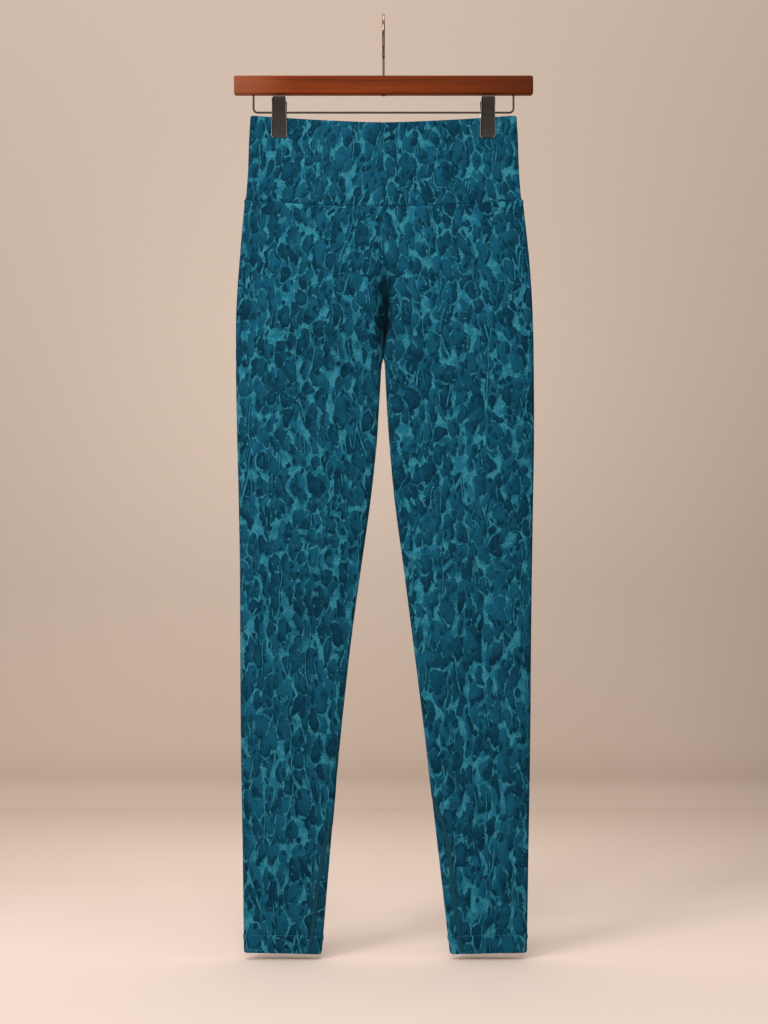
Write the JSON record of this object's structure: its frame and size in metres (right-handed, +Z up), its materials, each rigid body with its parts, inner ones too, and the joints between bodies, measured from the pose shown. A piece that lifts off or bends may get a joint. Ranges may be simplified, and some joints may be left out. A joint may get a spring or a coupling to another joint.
{
  "type": "leggings on a clip trouser hanger",
  "caption": "High-waist full-length knit leggings with an all-over mottled print, hung flat by two spring clips from a wooden trouser hanger.",
  "frame": {"origin": "inner crown of the hanger's hook, on top of the rail that holds it", "axes": "+Z up along the hanging garment, -Y towards the front of the leggings, +X towards the wearer's left"},
  "size_m": [0.3557, 0.0466, 1.1161],
  "materials": {
    "wood": "satin varnish, reddish brown",
    "hook_metal": "polished brown brass",
    "wire_steel": "dark satin steel wire",
    "clip_steel": "dark satin plate, polished edges",
    "knit": "matt stretch knit, teal mottled print"
  },
  "bodies": {
    "root": {"hanger_bar": "wood", "hanger_hook": "hook_metal", "hanger_stem": "wire_steel", "hanger_wire": "wire_steel", "clip_left_front": "clip_steel", "clip_left_back": "clip_steel", "clip_left_spring": "wire_steel", "clip_right_front": "clip_steel", "clip_right_back": "clip_steel", "clip_right_spring": "wire_steel", "waistband": "knit", "leg_left": "knit", "leg_right": "knit"}
  },
  "joints": []
}
